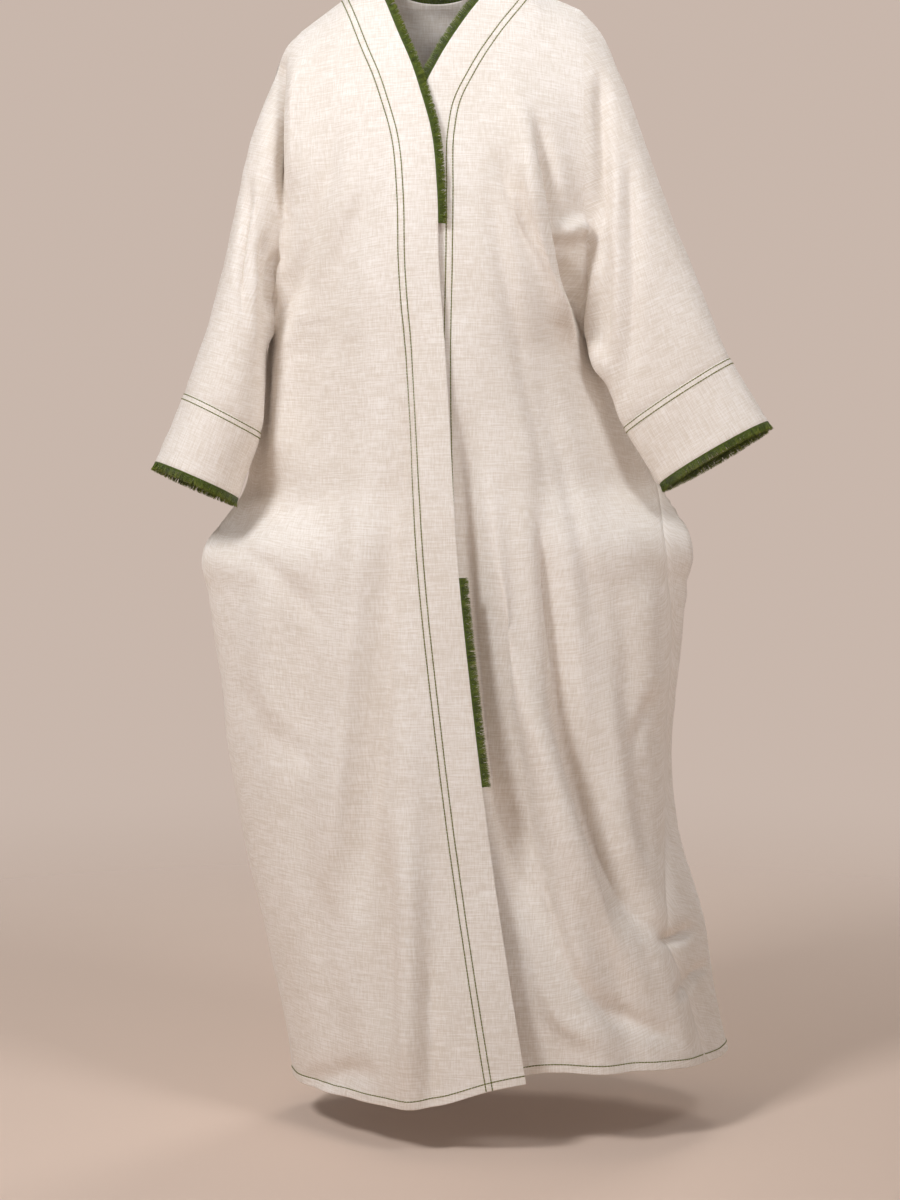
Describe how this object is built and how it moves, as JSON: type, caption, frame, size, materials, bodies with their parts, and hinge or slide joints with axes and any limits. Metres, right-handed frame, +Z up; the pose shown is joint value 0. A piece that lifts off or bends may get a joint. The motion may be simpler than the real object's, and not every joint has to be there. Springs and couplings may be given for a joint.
{
  "type": "abaya cloak",
  "caption": "Long open-front abaya cloak with grown-on sleeves, deep cuffs and short fringed trim, hollow and posed as worn with its skirt held out at the sides.",
  "frame": {"origin": "on the shoulders at the base of the neck, midway between the neck's two sides in depth and width, where the wearer holds the cloak up", "axes": "+Z up, -Y towards the front of the cloak, +X towards the wearer's left"},
  "size_m": [0.7878, 0.3988, 1.4251],
  "materials": {
    "linen": "cream slub-linen plain weave, matt, with a slight soft sheen",
    "fringe": "moss green short cut thread fringe, matt",
    "thread": "olive green topstitching thread, slight sheen"
  },
  "bodies": {
    "root": {"front_right": "linen", "front_left": "linen", "back": "linen", "cuff_right": "linen", "cuff_left": "linen", "trim_neck": "fringe", "trim_front_lower": "fringe", "trim_cuff_right": "fringe", "trim_cuff_left": "fringe"}
  },
  "joints": []
}
